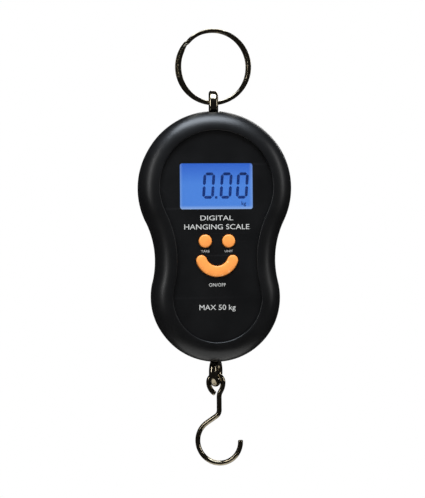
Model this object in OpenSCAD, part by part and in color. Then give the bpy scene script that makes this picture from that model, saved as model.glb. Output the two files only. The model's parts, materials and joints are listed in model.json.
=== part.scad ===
// Pocket hanging scale with a swivelling hook.
// Millimetres. +Z up, the face looks along -Y, origin at the centre of the split ring.

/* [Case] */
// Radius of the upper lobe of the outline
upper_r = 35; // [34:0.5:36]
// Radius of the lower lobe of the outline
lower_r = 29.4; // [29:0.2:30]
// Distance between the centres of the two lobes
lobe_gap = 50.1; // [49.5:0.1:51]
// Radius of the hollow curve at the waist
waist_r = 41; // [38:1:46]
// Depth of the front shell, from the parting plane to the top of its rim
front_h = 13.5; // [13.5:0.1:14]
// Depth of the rear shell
back_h = 13; // [13:0.1:13.5]
// Wall of both shells
wall = 2; // [1.8:0.1:2.2]
// Width of the raised rim, from the outline to the foot of its inner slope
rim_w = 9.4; // [9:0.1:9.8]
// How far the face lies below the top of the rim
face_drop = 1.3; // [1:0.1:1.4]

/* [Ring, eyes and hook] */
// Outer diameter of the split ring
ring_od = 35; // [34:0.5:36]
// Wire of the split ring, measured along a radius
ring_wire = 1.7; // [1.6:0.05:1.8]
// Wire diameter of both eyes
eye_wire = 4; // [3.9:0.05:4.1]
// Diameter of the hole in both eyes
eye_hole = 5.6; // [5.5:0.1:5.8]
// Wire diameter of the hook
hook_wire = 2.3; // [2.2:0.05:2.4]
// Radius of the hook's bowl, at the centre of the wire
bowl_r = 10.1; // [9.5:0.1:11]
// Angle by which the lower eye and the hook stand turned at rest
swivel_rest = -19; // [-30:1:0]

/* [Face] */
// Width of the display window
window_w = 32.7; // [32:0.1:34.5]
// Height of the display window
window_h = 20.4; // [20:0.1:22]
// Diameter of the two round buttons
eye_button_d = 5.8; // [5.6:0.1:6.2]
// Distance between the two round buttons
eye_button_gap = 10.6; // [10.6:0.1:12]
// Radius of the smile, at the middle of its width
smile_r = 7.5; // [7.4:0.1:8]
// Width of the smile's band
smile_w = 4.8; // [4.4:0.1:5]
// Half the angle that the smile spans
smile_half = 70; // [60:1:74]
// Gap all round a button
button_gap = 0.3; // [0.2:0.05:0.35]
// How far a button travels when pressed
button_travel = 0.5; // [0.3:0.1:0.5]

/* [Hidden] */
$fn = 96;
eps = 0.01;

// Lobes and waist of the outline: the waist circle touches both lobes
upper_z = -55.7;
lower_z = upper_z - lobe_gap;
waist_bite = 0.06;
far_u = upper_r + waist_r - waist_bite;
far_l = lower_r + waist_r - waist_bite;
waist_dz = (far_u * far_u - far_l * far_l + lobe_gap * lobe_gap) / (2 * lobe_gap);
waist_x = sqrt(far_u * far_u - waist_dz * waist_dz);
waist_z = upper_z - waist_dz;
upper_dip = asin(waist_dz / far_u);
lower_rise = asin((lobe_gap - waist_dz) / far_l);
case_top = upper_z + upper_r;
case_bottom = lower_z - lower_r;

// Depths, all measured along Y
front_edge_r = 9;
back_edge_r = 7;
face_y = -(front_h - face_drop);
face_wall = 1.8;
inside_y = face_y + face_wall;
lens_flange = 0.8;
glass_y = inside_y + lens_flange + 0.1;
glass_t = 1.8;
light_y = glass_y + glass_t + 0.1;
board_y = -6;
board_t = 1.4;
light_t = board_y - 0.1 - light_y;
door_t = 1.8;
cell_y = 5.9;

// Display and buttons
display_z = -55.35;
button_z = -80.1;
smile_z = -86.3;
button_top = face_y - 1.1;
flange_t = 0.8;
switch_h = 1.6;
switch_tip = board_y - switch_h - 0.5;
stem_end = switch_tip - button_travel - 0.1;
stem_r = 1.1;
smile_low_z = smile_z - smile_r;
end_bite = 0.04;

// Load path
turn_t = 1.35;
pivot_z = -(ring_od - ring_wire) / 2;
top_eye_z = pivot_z + 1.9 - eye_hole / 2;
eye_r = (eye_hole + eye_wire) / 2;
pocket_floor = top_eye_z - eye_r - eye_wire / 2 - 0.5;
beam_top = -33;
beam_w = 22;
beam_h = 34;
beam_t = 8.4;
beam_bottom = beam_top - beam_h;
beam_mid = beam_top - beam_h / 2;
slit_h = 2;
slit_dz = 7;
slit_left = 3;
nut_af = 7;
nut_h = 3.2;
cup_top = -120.5;
cup_bottom = -131.5;
cup_r = 4;
cup_bore_r = 3.3;
cup_floor = 1.9;
shank_r = 2;
run_gap = 0.05;
collar_h = 3;
washer_t = 0.5;
low_eye_z = -140.2;
hook_z = low_eye_z - eye_hole / 2 + hook_wire / 2 + 0.3;

// Battery bay
cell_d = 10.5;
cell_l = 44.5;
cell_x = 10.5;
well_w = 10.9;
well_wall = 0.8;
well_top = -77;
well_bottom = -126.4;
well_floor = cell_y - cell_d / 2 - 0.25;
door_w = 34;
door_top = -75;
door_gap = 0.25;
tongue_top = -82;
tongue_l = 29;
door_travel = 8;
door_lip = 7.3;

// Screws
case_screw_at = [[-22, -36], [22, -36], [-21, -117.5], [21, -117.5]];
board_screw_at = [[-18.5, -72], [18.5, -72], [-18.5, -97], [18.5, -97]];
beam_screw_at = [[-7, -38], [7, -38]];
board_w = 43;
board_top = -41.6;
board_bottom = -99.6;

// ---------- shapes that repeat ----------

// Outline of a lobe's edge: full height to r - e, then rounded by e
module edge_profile(r, h, e) {
  intersection() {
    union() {
      square([r - e, h]);
      square([r, h - e]);
      translate([r - e, h - e]) circle(e);
    }
    square([r, h]);
  }
}

// What the waist circle takes away: the same edge, seen from outside
module waist_cut_profile(r, h, e) {
  translate([0, -1]) square([r, h + 2]);
  difference() {
    translate([r - eps, h - e]) square([e + eps, e + 1]);
    translate([r + e, h - e]) circle(e);
  }
}

module upper_lobe(inset, h, e) {
  translate([0, upper_z, 0]) rotate_extrude() edge_profile(upper_r - inset, h, e);
}

module lower_lobe(inset, h, e) {
  translate([0, lower_z, 0]) rotate_extrude() edge_profile(lower_r - inset, h, e);
}

// Solid of the figure-8 outline, drawn inwards by inset, h high, with a rounded edge e.
// The waist circles bite a hair into both lobes, so that every surface crosses cleanly.
module figure_eight(inset, h, e) {
  ru = upper_r - inset - waist_bite / 2;
  rl = lower_r - inset - waist_bite / 2;
  xu = ru * cos(upper_dip);
  zu = upper_z - ru * sin(upper_dip);
  xl = rl * cos(lower_rise);
  zl = lower_z + rl * sin(lower_rise);
  difference() {
    union() {
      upper_lobe(inset, h, e);
      lower_lobe(inset, h, e);
      linear_extrude(h)
        polygon([[0, upper_z], [xu, zu], [xl, zl], [0, lower_z], [-xl, zl], [-xu, zu]]);
    }
    for (side = [-1, 1]) translate([side * waist_x, waist_z, 0])
      rotate_extrude() waist_cut_profile(waist_r + inset, h, e);
  }
}

// Puts a shape drawn in X and Z, rising towards the viewer, on the front or the back half
module to_front() { rotate([90, 0, 0]) children(); }
module to_back() { mirror([0, 1, 0]) rotate([90, 0, 0]) children(); }

module rod_y(r, y0, y1) {
  translate([0, y0, 0]) rotate([-90, 0, 0]) cylinder(r = r, h = y1 - y0);
}

module rod_z(r, z0, z1) {
  translate([0, 0, z0]) cylinder(r = r, h = z1 - z0);
}

module block(x0, x1, y0, y1, z0, z1) {
  translate([x0, y0, z0]) cube([x1 - x0, y1 - y0, z1 - z0]);
}

// Box with rounded corners in X and Z
module plate(w, h, y0, y1, r) {
  translate([0, y1, 0]) rotate([90, 0, 0]) linear_extrude(y1 - y0) {
    square([w - 2 * r, h], center = true);
    square([w, h - 2 * r], center = true);
    for (x = [-1, 1], z = [-1, 1]) translate([x * (w / 2 - r), z * (h / 2 - r)]) circle(r);
  }
}

// Band of a ring about Y, opening upwards, with round ends that stand a hair proud of it
module smile_band(r, w, half, y0, y1) {
  translate([0, y1, 0]) rotate([90, 0, 0]) linear_extrude(y1 - y0) {
    intersection() {
      difference() {
        circle(r + w / 2);
        circle(r - w / 2);
      }
      polygon([[0, 0], [-3 * r * sin(half), -3 * r * cos(half)],
               [-3 * r, -4 * r], [3 * r, -4 * r], [3 * r * sin(half), -3 * r * cos(half)]]);
    }
    for (a = [-1, 1]) translate([a * r * sin(half), -r * cos(half)]) circle(w / 2 + end_bite);
  }
}

// Closed eye with its shank along Z, in the YZ plane
module eye_bolt(z, shank_from, shank_to) {
  translate([0, 0, z]) rotate([0, 90, 0])
    rotate_extrude() translate([eye_r, 0]) circle(eye_wire / 2);
  rod_z(shank_r, shank_from, shank_to);
}

module hex_nut(z, bore) {
  translate([0, 0, z]) difference() {
    cylinder(r = nut_af / sqrt(3), h = nut_h, $fn = 6);
    translate([0, 0, -1]) cylinder(r = bore, h = nut_h + 2);
  }
}

// Pan-head screw along Y: the head's seat is at y, the point at y + l * side
module pan_screw(y, l, side, head_r, core_r) {
  head_h = head_r * 0.8;
  if (side > 0) {
    rod_y(core_r, y - eps, y + l);
    difference() {
      rod_y(head_r, y - head_h, y);
      cross_recess(y - head_h, head_r);
    }
  } else {
    rod_y(core_r, y - l, y + eps);
    difference() {
      rod_y(head_r, y, y + head_h);
      cross_recess(y + head_h, head_r);
    }
  }
}

module cross_recess(y, head_r) {
  for (a = [0, 90]) translate([0, y, 0]) rotate([0, a, 0])
    cube([head_r * 1.1, head_r * 0.8, head_r * 0.25], center = true);
}

// Tube through a list of points: one ring of sides at each point, closed by two caps
function unit(v) = v / norm(v);
function heading(p, i) = unit(p[min(i + 1, len(p) - 1)] - p[max(i - 1, 0)]);
function side_of(t) = unit(cross(t, abs(t[1]) < 0.9 ? [0, 1, 0] : [1, 0, 0]));
module tube_along(p, r, sides) {
  n = len(p);
  points = [
    for (i = [0 : n - 1])
      let (t = heading(p, i), u = side_of(t), v = cross(t, u))
        for (k = [0 : sides - 1])
          p[i] + r * (cos(360 * k / sides) * u + sin(360 * k / sides) * v)
  ];
  walls = [
    for (i = [0 : n - 2], k = [0 : sides - 1])
      [i * sides + k, i * sides + (k + 1) % sides,
       (i + 1) * sides + (k + 1) % sides, (i + 1) * sides + k]
  ];
  first = [for (k = [sides - 1 : -1 : 0]) k];
  last = [for (k = [0 : sides - 1]) (n - 1) * sides + k];
  polyhedron(points, concat([first], walls, [last]));
}

// Points of a smooth curve through a few hand-set points
function smooth(p, steps) = [
  for (i = [0 : len(p) - 2], s = [0 : steps - 1])
    let (a = p[max(i - 1, 0)], b = p[i], c = p[i + 1], d = p[min(i + 2, len(p) - 1)], t = s / steps)
      0.5 * (2 * b + (c - a) * t + (2 * a - 5 * b + 4 * c - d) * t * t
             + (3 * b - a - 3 * c + d) * t * t * t),
  p[len(p) - 1]
];

// ---------- ring and eyes ----------

module split_ring() {
  color("silver") for (side = [-1, 1])
    translate([0, side * turn_t / 2, 0]) rotate([90, 0, 0])
      rotate_extrude() translate([ring_od / 2 - ring_wire, -turn_t / 2 - (side < 0 ? 0.02 : 0)])
        square([ring_wire, turn_t + (side < 0 ? 0.02 : 0)]);
}

module top_eye_bolt() {
  color("silver") rotate([0, 0, -5])
    eye_bolt(top_eye_z, beam_top - 8, top_eye_z - eye_r);
}

module top_lock_nut() {
  color("gainsboro") hex_nut(beam_top + eps, shank_r + 0.02);
}

// ---------- case ----------

module front_shell() {
  to_front() difference() {
    figure_eight(0, front_h, front_edge_r);
    translate([0, 0, -eps]) figure_eight(wall, -inside_y + eps, front_edge_r - wall - 2);
  }
}

// The recess of the face, with one small step at its edge
module face_recess() {
  to_front() translate([0, 0, front_h - face_drop]) {
    figure_eight(rim_w, face_drop + 2, 0.3);
    translate([0, 0, face_drop * 0.5]) figure_eight(rim_w - 0.5, 4, 0.3);
  }
}

module post(at, r, y0, y1) {
  translate([at[0], 0, at[1]]) rod_y(r, y0, y1);
}

// Thick floor under the upper eye's pocket, from y0 to y1
module upper_eye_floor(y0, y1) {
  intersection() {
    block(-5, 5, y0, y1, pocket_floor - 2.2, case_top + 1);
    rotate([90, 0, 0]) translate([0, upper_z, -20]) cylinder(r = upper_r - wall / 2, h = 40);
  }
}

// Thick floor over the lower eye's pocket, from y0 to y1
module lower_eye_floor(y0, y1) {
  block(-6.5, 6.5, y0, y1, case_bottom + 1.4, cup_bottom - 0.2);
}

module eye_pockets() {
  slot_r = eye_wire / 2 + 0.45;
  // slot for the fixed upper eye
  for (y = [-1, 1]) translate([0, y * 6, pocket_floor]) cylinder(r = slot_r, h = 12);
  block(-slot_r, slot_r, -6, 6, pocket_floor, pocket_floor + 12);
  rod_z(shank_r + 0.3, beam_top, case_top);
  // round pocket in which the lower eye turns
  rod_z(5.1, case_bottom - 2, case_bottom + 2.1);
  rod_z(shank_r + 0.3, case_bottom - 1, cup_bottom + 1);
}

module front_cover() {
  color("#161617") difference() {
    union() {
      front_shell();
      for (at = case_screw_at) post(at, 3, inside_y - 0.5, -0.05);
      for (at = board_screw_at) post(at, 2.2, inside_y - 0.5, board_y);
      upper_eye_floor(-9.4, -0.03);
      lower_eye_floor(-8, -0.03);
    }
    face_recess();
    eye_pockets();
    for (at = case_screw_at) post(at, 1.15, inside_y + 1, 1);
    for (at = board_screw_at) post(at, 0.85, inside_y + 0.4, board_y + 1);
    translate([0, 0, display_z]) plate(window_w + 0.3, window_h + 0.3, face_y - 3, inside_y + 2, 1.1);
    for (x = [-1, 1]) translate([x * eye_button_gap / 2, 0, button_z])
      rod_y(eye_button_d / 2 + button_gap, face_y - 3, inside_y + 2);
    translate([0, 0, smile_z])
      smile_band(smile_r, smile_w + 2 * button_gap, smile_half, face_y - 3, inside_y + 2);
  }
}

module back_shell() {
  to_back() difference() {
    figure_eight(0, back_h, back_edge_r);
    translate([0, 0, -eps]) figure_eight(wall, back_h - wall + eps, back_edge_r - wall);
  }
}

// Space of the door and of its sliding tongues
module door_space() {
  half = door_w / 2 + door_gap;
  block(-half, half, back_h - door_t - 0.1, back_h + 1, case_bottom - 2, door_top + door_gap);
  block(-half, half, door_lip - 0.2, back_h + 1, case_bottom - 2, well_bottom - well_wall);
  // room under the door's curved end
  difference() {
    block(-half, half, door_lip - 0.2, back_h + 1, case_bottom - 2, lower_z - 8);
    to_back() lower_lobe(door_t + 0.2, back_h - door_t - 0.1, back_edge_r - door_t);
  }
  block(-half - 1.1, half + 1.1, back_h - door_t - 0.1, back_h - door_t + 1,
        tongue_top - tongue_l - door_travel - 0.4, tongue_top + 0.3);
}

module back_cover() {
  half = cell_x + well_w / 2 + well_wall;
  gap = cell_x - well_w / 2 - well_wall;
  color("#161617") difference() {
    union() {
      difference() {
        union() {
          back_shell();
          for (at = case_screw_at) post(at, 3.4, 0, back_h - 1);
          upper_eye_floor(0.03, 9);
          lower_eye_floor(0.03, 5);
          // frame behind the door: closes the bay all round
          block(-half - 1.6, half + 1.6, well_floor - well_wall, back_h - 1,
                lower_z - 5, well_top + well_wall);
          intersection() {
            block(-half - 1.6, half + 1.6, well_floor - well_wall, back_h - 1,
                  well_bottom - well_wall, lower_z);
            to_back() lower_lobe(wall / 2, back_h - 0.5, back_edge_r - 1);
          }
        }
        door_space();
        for (side = [-1, 1])
          block(side > 0 ? cell_x - well_w / 2 : -cell_x - well_w / 2,
                side > 0 ? cell_x + well_w / 2 : -cell_x + well_w / 2,
                well_floor, back_h + 1, well_bottom, well_top);
        block(-gap, gap, well_floor - 2, back_h + 1, well_bottom - 2, well_top + 2);
      }
      for (at = beam_screw_at) post(at, 3, beam_t / 2, back_h - 1);
    }
    eye_pockets();
    for (at = case_screw_at) {
      post(at, 1.4, -1, back_h + 1);
      post(at, 2.6, 4, back_h + 1);
    }
    for (at = beam_screw_at) post(at, 0.85, beam_t / 2 - 1, back_h - 2.5);
  }
}

module battery_door() {
  half = door_w / 2;
  color("#161617") {
    intersection() {
      to_back() difference() {
        figure_eight(0, back_h, back_edge_r);
        translate([0, 0, -eps]) figure_eight(door_t, back_h - door_t + eps, back_edge_r - door_t);
      }
      difference() {
        block(-half, half, door_lip, back_h + 1, case_bottom - 1, door_top);
        for (k = [0 : 3])
          translate([0, back_h, door_top - 6 - 2.2 * k]) rotate([45, 0, 0])
            cube([16, 0.9, 0.9], center = true);
      }
    }
    for (side = [-1, 1])
      block(side > 0 ? half - 0.5 : -half - 0.9, side > 0 ? half + 0.9 : -half + 0.5,
            back_h - door_t, back_h - door_t + 0.8, tongue_top - tongue_l, tongue_top);
  }
}

// ---------- display and board ----------

module display_window() {
  color("#7fb2e6", 0.6) translate([0, 0, display_z]) {
    plate(window_w, window_h, face_y + 0.15, inside_y + 0.2, 1);
    plate(window_w + 2.4, window_h + 2.2, inside_y + 0.02, inside_y + lens_flange, 1.2);
  }
}

module lcd_panel() {
  color("#4b8fe0") translate([0, 0, display_z]) {
    plate(36, 24.5, glass_y, glass_y + glass_t / 2 + eps, 0.3);
    translate([0, 0, 1]) plate(36, 22.5, glass_y + glass_t / 2, glass_y + glass_t, 0.3);
  }
}

module backlight() {
  color("#3f6fff") translate([0, 0, display_z + 1]) {
    plate(34, 20.5, light_y, light_y + light_t, 0.8);
    block(17 - eps, 18.5, light_y, light_y + light_t, -3, 3);
  }
}

module display_frame() {
  color("#d9d9d6") translate([0, 0, display_z]) difference() {
    plate(39.4, 28, glass_y - 0.05, board_y, 1.4);
    plate(36.3, 24.8, glass_y - 1, board_y + 1, 0.5);
    block(17, 19, light_y - 0.1, board_y + 1, -2.4, 4.4);
  }
}

module zebra_strips() {
  color("#3a3a3c") translate([0, 0, display_z]) {
    block(-15, 15, glass_y + glass_t / 2 + 0.03, board_y, -12.1, -10.5);
  }
  color("#3a3a3c") translate([0, 0, display_z])
    block(-15, 15, glass_y + glass_t + 0.05, board_y, 11.35, 12.1);
}

module circuit_board() {
  mid = (board_top + board_bottom) / 2;
  color("#2f7d46") difference() {
    translate([0, 0, mid]) plate(board_w, board_top - board_bottom, board_y, board_y + board_t, 2);
    for (at = board_screw_at) post(at, 1.1, board_y - 1, board_y + board_t + 1);
  }
}

module controller_chip() {
  color("#1a1a1a") translate([0, 0, -73.3]) intersection() {
    translate([0, board_y + 6, 0]) sphere(r = 7);
    block(-5, 5, board_y - 2, board_y, -5, 5);
  }
}

module board_capacitors() {
  color("#30343a") for (x = [-11, 11])
    translate([x, 0, -72.5]) rod_y(2, board_y - 3.6, board_y);
}

module tact_switches() {
  color("#b9bcc0") for (at = [[-eye_button_gap / 2, button_z], [eye_button_gap / 2, button_z],
                              [0, smile_low_z]])
    translate([at[0], 0, at[1]]) {
      block(-2.2, 2.2, board_y - switch_h, board_y, -2.2, 2.2);
      rod_y(1.1, switch_tip, board_y - switch_h + eps);
    }
}

// ---------- load path ----------

module load_cell() {
  half = beam_w / 2;
  color("#c9ccd0") difference() {
    block(-half, half, -beam_t / 2, beam_t / 2, beam_bottom, beam_top);
    block(-half + slit_left, half + 1, -beam_t, beam_t,
          beam_mid + slit_dz, beam_mid + slit_dz + slit_h);
    block(-half - 1, half - slit_left, -beam_t, beam_t,
          beam_mid - slit_dz - slit_h, beam_mid - slit_dz);
    for (x = [-5, 5]) translate([x, 0, beam_mid]) rod_y(4, -beam_t, beam_t);
    block(-5, 5, -beam_t, beam_t, beam_mid - 1.5, beam_mid + 1.5);
    rod_z(shank_r, beam_top - 8, beam_top + 1);
    rod_z(shank_r, beam_bottom - 1, beam_bottom + 7);
    for (at = beam_screw_at) post(at, 1.3, -beam_t, beam_t);
  }
}

module strain_gauges() {
  color("#c98b3c") for (x = [-5, 5], s = [-1, 1])
    translate([x, 0, beam_mid + s * (slit_dz + 0.15)]) cube([5, 4, 0.3], center = true);
}

module draw_rod() {
  color("silver") rod_z(shank_r, cup_top - 2.4, beam_bottom + 7);
}

module rod_lock_nuts() {
  color("gainsboro") {
    hex_nut(beam_bottom - nut_h - eps, shank_r + 0.02);
    hex_nut(cup_top + eps, shank_r + 0.02);
  }
}

module swivel_cup() {
  color("#b8a25a") difference() {
    rod_z(cup_r, cup_bottom, cup_top);
    rod_z(cup_bore_r, cup_bottom + cup_floor, cup_top - 2.5);
    rod_z(shank_r, cup_top - 3, cup_top + 1);
    rod_z(shank_r + run_gap, cup_bottom - 1, cup_bottom + cup_floor + 1);
  }
}

module thrust_washer() {
  color("#e8e4d8") difference() {
    rod_z(cup_bore_r - 0.1, cup_bottom + cup_floor, cup_bottom + cup_floor + washer_t);
    rod_z(shank_r + 0.1, cup_bottom, cup_bottom + cup_floor + 2);
  }
}

module swivel_collar() {
  low = cup_bottom + cup_floor + washer_t + run_gap;
  color("silver") difference() {
    rod_z(cup_bore_r - 0.2, low, low + collar_h);
    rod_z(shank_r, low - 1, low + collar_h + 1);
  }
}

module bottom_eye_bolt() {
  color("silver") rotate([0, 0, swivel_rest])
    eye_bolt(low_eye_z, low_eye_z + eye_r,
             cup_bottom + cup_floor + washer_t + run_gap + collar_h + 0.6);
}

// ---------- hook ----------

// Arc of wire about a centre in the XZ plane, from one angle through a sweep
module wire_arc(x, z, r, from, sweep) {
  translate([x, 0, z]) rotate([90, 0, 0]) rotate([0, 0, from])
    rotate_extrude(angle = sweep) translate([r, 0]) circle(hook_wire / 2);
}

// Straight wire between two points of the XZ plane
module wire_line(x0, z0, x1, z1) {
  l = norm([x1 - x0, z1 - z0]);
  translate([x0, 0, z0]) rotate([0, atan2(x1 - x0, z1 - z0), 0])
    cylinder(r = hook_wire / 2, h = l);
}

// Ball over the joint of two lengths of wire, a hair larger than the wire
module wire_joint(x, z) {
  translate([x, 0, z]) sphere(r = hook_wire / 2 + 0.03);
}

// Loop, shank and bowl, drawn about the point where the loop bears on the eye
module hook_wire_shape() {
  loop_r = 3.4;
  shank_x = 1.5;
  in_r = 8;
  out_r = 5;
  ease = acos(1 - (loop_r - shank_x) / (in_r + out_r));
  neck_z = -loop_r - (in_r + out_r) * sin(ease);
  bowl_x = 1.3;
  bowl_z = -30.45;
  lean = 55;
  bend_r = 3.5;
  enter = 180 - lean;
  touch_x = bowl_x + bowl_r * cos(enter);
  touch_z = bowl_z + bowl_r * sin(enter);
  bend_x = shank_x - bend_r * (1 - cos(lean));
  run = (bend_x - touch_x) / sin(lean);
  bend_z = touch_z + run * cos(lean);
  close = 55;
  wire_arc(0, -loop_r, loop_r, 0, 180);
  wire_arc(loop_r - in_r, -loop_r, in_r, -ease, ease);
  wire_arc(shank_x + out_r, neck_z, out_r, 180 - ease, ease);
  wire_arc(-loop_r + 6.2, -loop_r, 6.2, 180, close);
  wire_line(shank_x, bend_z + bend_r * sin(lean), shank_x, neck_z);
  wire_arc(shank_x - bend_r, bend_z + bend_r * sin(lean), bend_r, -lean, lean);
  wire_line(touch_x, touch_z, bend_x, bend_z);
  wire_arc(bowl_x, bowl_z, bowl_r, enter, 366 - enter);
  for (at = [[loop_r, -loop_r], [-loop_r, -loop_r], [shank_x, neck_z],
             [shank_x + out_r * (1 - cos(ease)), neck_z + out_r * sin(ease)],
             [shank_x, bend_z + bend_r * sin(lean)], [bend_x, bend_z], [touch_x, touch_z]])
    wire_joint(at[0], at[1]);
}

module weighing_hook() {
  color("silver") rotate([0, 0, swivel_rest]) translate([0, 0, hook_z]) hook_wire_shape();
}

// ---------- buttons ----------

module round_button(x) {
  color("#f0a04c") translate([x, 0, button_z]) {
    intersection() {
      rod_y(eye_button_d / 2, button_top, inside_y + 0.3);
      translate([0, button_top + 9, 0]) sphere(r = 9);
    }
    rod_y(eye_button_d / 2 + 0.9, inside_y + 0.1, inside_y + 0.1 + flange_t);
    rod_y(stem_r, inside_y + 0.1, stem_end);
  }
}

module tare_button() { round_button(-eye_button_gap / 2); }

module unit_button() { round_button(eye_button_gap / 2); }

module power_button() {
  color("#f0a04c") {
    translate([0, 0, smile_z]) {
      smile_band(smile_r, smile_w, smile_half, button_top + 0.4, inside_y + 0.3);
      smile_band(smile_r, smile_w - 1, smile_half, button_top, button_top + 0.5);
      smile_band(smile_r, smile_w + 1.6, smile_half, inside_y + 0.1, inside_y + 0.1 + flange_t);
    }
    translate([0, 0, smile_low_z]) rod_y(stem_r, inside_y + 0.1, stem_end);
  }
}

// ---------- batteries and wires ----------

// Nub of each cell: the right cell's at the top of the bay, the left cell's at the foot
function nub_z(side) = side > 0 ? well_top - 0.5 : well_bottom + 0.5;

module battery_cells() {
  for (side = [-1, 1]) translate([side * cell_x, cell_y, nub_z(side)])
    rotate([side > 0 ? 0 : 180, 0, 0]) {
      color("#c7a23a") rod_z(cell_d / 2, -cell_l, -0.8);
      color("silver") rod_z(1.9, -1, 0);
    }
}

module battery_springs() {
  turns = 2.75;
  steps = 44;
  wire_r = 0.25;
  for (side = [-1, 1]) {
    base = side > 0 ? well_bottom + 0.5 + wire_r : well_top - 0.5 - wire_r;
    tip = nub_z(side) - side * (cell_l + wire_r + 0.03);
    color("silver") tube_along([for (i = [0 : steps])
      let (t = i / steps, r = 3.6 - 1.6 * t, a = 360 * turns * t)
        [side * cell_x + r * cos(a), cell_y + r * sin(a), base + (tip - base) * t]], wire_r, 8);
  }
}

module battery_contacts() {
  color("#b9bcc0") {
    for (side = [-1, 1]) block(side * cell_x - 4.4, side * cell_x + 4.4, 1.2, 9.6,
                               well_top - 0.45, well_top - 0.05);
    for (side = [-1, 1]) block(side * cell_x - 4.4, side * cell_x + 4.4, 1.2, 9.6,
                               well_bottom + 0.05, well_bottom + 0.45);
  }
}

module red_lead() {
  color("#b3201c") tube_along(smooth([[9, 3, -75.6], [9, 1, -74.8], [9.5, -1.5, -73.5],
    [10.5, -2.8, -71.5], [11, -3.9, -70.8]], 5), 0.6, 8);
}

module black_lead() {
  color("#17171a") tube_along(smooth([[-9, 3, -75.6], [-9, 1, -74.8], [-9.5, -1.5, -73.5],
    [-10.5, -2.8, -71.5], [-11, -3.9, -70.8]], 5), 0.6, 8);
}

module sensor_cable() {
  color("#7c7f85") tube_along(smooth([[11.3, 0, -50], [13, 0.2, -50.5], [14.8, -0.4, -52.5],
    [15.6, -2.2, -54.5], [15.8, -3.6, -56]], 5), 0.8, 8);
}

// ---------- screws ----------

module case_screws() {
  color("#3b3d40") for (at = case_screw_at) translate([at[0], 0, at[1]])
    pan_screw(4.02, 10, -1, 2.4, 1.15);
}

module board_screws() {
  color("gainsboro") for (at = board_screw_at) translate([at[0], 0, at[1]])
    pan_screw(board_y + board_t + 0.02, 5, -1, 1.8, 0.85);
}

module load_cell_screws() {
  color("gainsboro") for (at = beam_screw_at) translate([at[0], 0, at[1]])
    pan_screw(-beam_t / 2 - 0.02, 13, 1, 2, 0.85);
}

split_ring();
front_cover();
back_cover();
display_window();
lcd_panel();
backlight();
display_frame();
zebra_strips();
circuit_board();
controller_chip();
board_capacitors();
tact_switches();
load_cell();
strain_gauges();
sensor_cable();
top_eye_bolt();
top_lock_nut();
draw_rod();
rod_lock_nuts();
swivel_cup();
thrust_washer();
battery_cells();
battery_springs();
battery_contacts();
red_lead();
black_lead();
load_cell_screws();
board_screws();
case_screws();
battery_door();
tare_button();
unit_button();
power_button();
bottom_eye_bolt();
swivel_collar();
weighing_hook();
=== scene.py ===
"""Looks of a pocket hanging scale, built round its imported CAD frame. Metres, +Z up, face along -Y."""

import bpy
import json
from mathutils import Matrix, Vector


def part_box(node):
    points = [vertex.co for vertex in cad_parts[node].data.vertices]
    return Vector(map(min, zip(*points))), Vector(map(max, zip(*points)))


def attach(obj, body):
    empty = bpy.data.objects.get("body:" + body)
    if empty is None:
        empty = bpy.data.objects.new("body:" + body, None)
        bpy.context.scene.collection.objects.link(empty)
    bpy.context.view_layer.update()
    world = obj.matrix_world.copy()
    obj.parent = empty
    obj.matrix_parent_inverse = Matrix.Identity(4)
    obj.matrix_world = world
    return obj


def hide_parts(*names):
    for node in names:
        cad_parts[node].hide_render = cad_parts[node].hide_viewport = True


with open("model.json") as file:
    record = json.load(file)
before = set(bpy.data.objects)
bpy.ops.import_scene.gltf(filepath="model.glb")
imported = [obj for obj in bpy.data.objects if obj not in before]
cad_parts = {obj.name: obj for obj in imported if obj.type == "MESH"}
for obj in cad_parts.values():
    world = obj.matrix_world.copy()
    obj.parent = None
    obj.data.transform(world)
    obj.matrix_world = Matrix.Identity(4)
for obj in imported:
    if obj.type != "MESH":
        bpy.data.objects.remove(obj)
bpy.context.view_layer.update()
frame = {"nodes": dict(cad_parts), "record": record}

import json
import logging
import math
from dataclasses import dataclass, field
from enum import Enum
from typing import Callable, Sequence

import bmesh
import bpy
import numpy as np
from mathutils import Vector

MM = 0.001
WELD_M = 1e-6
SHELL_SHARP_DEG = 34
RECESS_MM = 1.3
log = logging.getLogger("scale")

# ---------- small tools ----------


def linear(hex_colour: str) -> tuple[float, float, float, float]:
    """Turns an sRGB hex colour into Blender's linear RGBA.

    Args:
        hex_colour: Six hex digits, with or without a leading #.

    Returns:
        Linear red, green and blue, and an alpha of 1.
    """
    digits = hex_colour.lstrip("#")
    channels = [int(digits[i : i + 2], 16) / 255 for i in (0, 2, 4)]
    out = [c / 12.92 if c <= 0.04045 else ((c + 0.055) / 1.055) ** 2.4 for c in channels]
    return (out[0], out[1], out[2], 1.0)


def add_node(tree: bpy.types.NodeTree, kind: str, settings: dict | None = None,
             inputs: dict | None = None) -> bpy.types.Node:
    """Adds one shader node with its settings and its inputs.

    Args:
        tree: Node tree to add to.
        kind: Blender's node type, such as ShaderNodeTexNoise.
        settings: Attributes of the node.
        inputs: Input name or index to a value or to an output socket to link.

    Returns:
        The new node.
    """
    node = tree.nodes.new(kind)
    for name, value in (settings or {}).items():
        setattr(node, name, value)
    for name, value in (inputs or {}).items():
        if isinstance(value, bpy.types.NodeSocket):
            tree.links.new(value, node.inputs[name])
        else:
            node.inputs[name].default_value = value
    return node


def ramp(tree: bpy.types.NodeTree, source: bpy.types.NodeSocket,
         stops: Sequence[tuple[float, tuple]]) -> bpy.types.NodeSocket:
    """Adds a colour ramp and returns its colour output.

    Args:
        tree: Node tree to add to.
        source: Socket that drives the ramp.
        stops: Position and colour of each stop, in order.

    Returns:
        The ramp's colour socket.
    """
    node = add_node(tree, "ShaderNodeValToRGB", inputs={"Fac": source})
    elements = node.color_ramp.elements
    while len(elements) < len(stops):
        elements.new(0.5)
    for element, (position, colour) in zip(elements, stops):
        element.position = position
        element.color = colour
    return node.outputs["Color"]


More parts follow.
